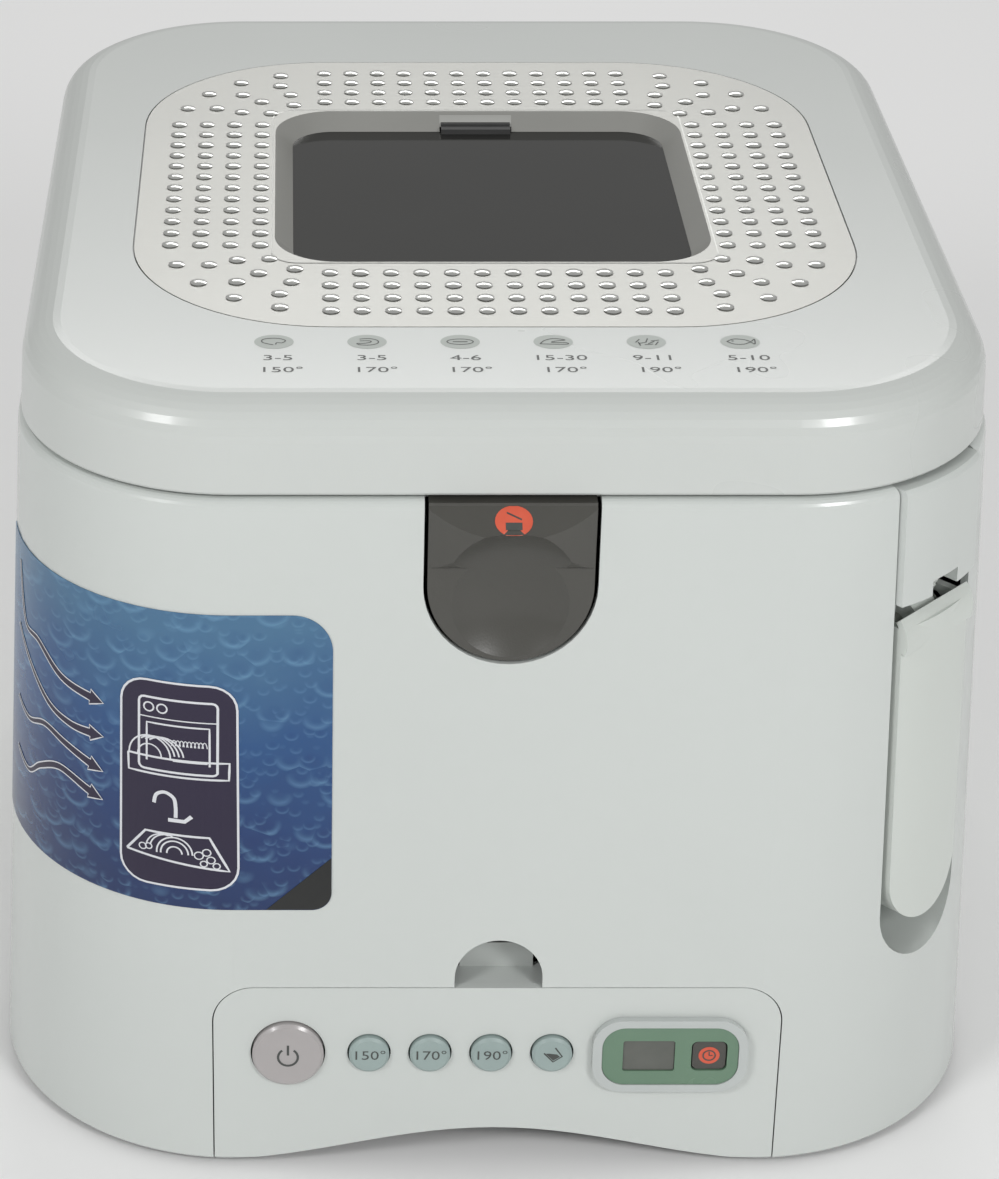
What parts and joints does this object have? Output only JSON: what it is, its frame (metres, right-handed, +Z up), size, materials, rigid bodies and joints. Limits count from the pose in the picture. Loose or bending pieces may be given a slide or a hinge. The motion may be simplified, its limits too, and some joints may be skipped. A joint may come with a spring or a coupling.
{
  "type": "deep fryer",
  "caption": "Counter-top deep fryer with a hinged windowed lid, removable bowl and basket, slide-out control unit and a folding handle that raises the basket.",
  "frame": {"origin": "on the ground under the centre of the bounding box", "axes": "+Z up, -Y out of the front with the controls, +X to the right when seen from the front"},
  "size_m": [0.3186, 0.3652, 0.2637],
  "materials": {
    "white_plastic": "semi-gloss",
    "black_plastic": "matt",
    "black_rubber": "matt",
    "silicone": "matt",
    "clear_grey": "gloss",
    "blue_grey": "satin",
    "pale_grey": "satin",
    "green_plastic": "satin",
    "lcd_glass": "gloss",
    "circuit_board": "satin",
    "dark_metal": "dark",
    "satin_trim": "satin, dimpled",
    "dark_glass": "tinted",
    "grey_plastic": "matt",
    "filter_foam": "porous",
    "warm_grey": "satin",
    "coated_bowl": "non-stick coating",
    "plain_aluminium": "cast",
    "ceramic": "glazed",
    "wire_cover": "matt",
    "printed_film": "glossy print",
    "steel": "satin"
  },
  "bodies": {
    "housing": {"body_shell": "white_plastic", "base_tray": "black_plastic", "rubber_feet": "black_rubber", "base_screws": "steel", "oil_bowl": "coated_bowl", "heater_plate": "plain_aluminium", "heating_element": "dark_metal", "heater_socket": "black_plastic", "probe_holder": "steel", "thermal_cutout": "ceramic", "heat_shield": "steel", "hinge_brackets": "steel", "hinge_screws": "steel", "lid_spring": "steel", "handle_block": "white_plastic", "lift_gear_pin": "steel", "release_pin": "steel", "release_spring": "steel", "cord_gland": "black_plastic", "wiring_loom": "wire_cover", "side_film": "printed_film"},
    "lid": {"lid_shell": "white_plastic", "lid_trim_plate": "satin_trim", "window_glass": "dark_glass", "window_gasket": "black_rubber", "window_clip": "grey_plastic", "lid_liner": "steel", "lid_seal": "silicone", "steam_filter": "filter_foam", "filter_cover": "grey_plastic", "hinge_pins": "steel", "lid_catch": "steel"},
    "release": {"lid_release": "warm_grey"},
    "control_module": {"control_panel": "white_plastic", "module_tray": "black_plastic", "module_plug": "black_plastic", "display_bezel": "pale_grey", "display_fascia": "green_plastic", "lcd_screen": "lcd_glass", "control_board": "circuit_board", "power_board": "circuit_board", "transformer": "dark_metal"},
    "power_key": {"power_button": "clear_grey"},
    "key_150": {"temp_button_150": "blue_grey"},
    "key_170": {"temp_button_170": "blue_grey"},
    "key_190": {"temp_button_190": "blue_grey"},
    "melt_key": {"melt_button": "blue_grey"},
    "timer_key": {"timer_button": "green_plastic"},
    "handle": {"basket_handle": "white_plastic", "handle_pin": "steel"},
    "lift_arm": {"lift_gear_arm": "grey_plastic", "lift_pin": "steel"},
    "basket": {"frying_basket": "steel", "basket_riser": "steel"}
  },
  "joints": [
    {"name": "lid_hinge", "type": "hinge", "parent": "housing", "child": "lid", "pos_m": [0, 0.158, 0.241], "axis": [-1, 0, 0], "range_deg": [0, 80]},
    {"name": "lid_release_rock", "type": "hinge", "parent": "housing", "child": "release", "pos_m": [0, -0.1624, 0.197], "axis": [1, 0, 0], "range_deg": [0, 6], "stiffness_Nm_per_rad": 0.6, "springref_deg": -11.46},
    {"name": "control_module_slide", "type": "slide", "parent": "housing", "child": "control_module", "axis": [0, -1, 0], "range_m": [0, 0.11]},
    {"name": "power_press", "type": "slide", "parent": "control_module", "child": "power_key", "axis": [0, 0.9988, -0.049], "range_m": [0, 0.0012], "stiffness_N_per_m": 900, "springref_m": -0.001},
    {"name": "press_150", "type": "slide", "parent": "control_module", "child": "key_150", "axis": [0, 0.9988, -0.049], "range_m": [0, 0.0012], "stiffness_N_per_m": 900, "springref_m": -0.001},
    {"name": "press_170", "type": "slide", "parent": "control_module", "child": "key_170", "axis": [0, 0.9988, -0.049], "range_m": [0, 0.0012], "stiffness_N_per_m": 900, "springref_m": -0.001},
    {"name": "press_190", "type": "slide", "parent": "control_module", "child": "key_190", "axis": [0, 0.9988, -0.049], "range_m": [0, 0.0012], "stiffness_N_per_m": 900, "springref_m": -0.001},
    {"name": "melt_press", "type": "slide", "parent": "control_module", "child": "melt_key", "axis": [0, 0.9988, -0.049], "range_m": [0, 0.0012], "stiffness_N_per_m": 900, "springref_m": -0.001},
    {"name": "timer_press", "type": "slide", "parent": "control_module", "child": "timer_key", "axis": [0, 0.9988, -0.049], "range_m": [0, 0.0012], "stiffness_N_per_m": 900, "springref_m": -0.001},
    {"name": "handle_swing", "type": "hinge", "parent": "housing", "child": "handle", "pos_m": [0.12251, -0.14471, 0.182], "axis": [-0.7071, -0.7071, 0], "range_deg": [0, 90]},
    {"name": "lift_arm_turn", "type": "hinge", "parent": "housing", "child": "lift_arm", "pos_m": [0.10129, -0.12349, 0.182], "axis": [0.7071, 0.7071, 0], "range_deg": [0, 90]},
    {"name": "basket_lift", "type": "slide", "parent": "housing", "child": "basket", "axis": [0, 0, 1], "range_m": [0, 0.05658]}
  ],
  "couplings": [
    {"joint": "handle_swing", "follows": "basket_lift", "rad_per_m": 27.768},
    {"joint": "lift_arm_turn", "follows": "basket_lift", "rad_per_m": 27.768}
  ]
}
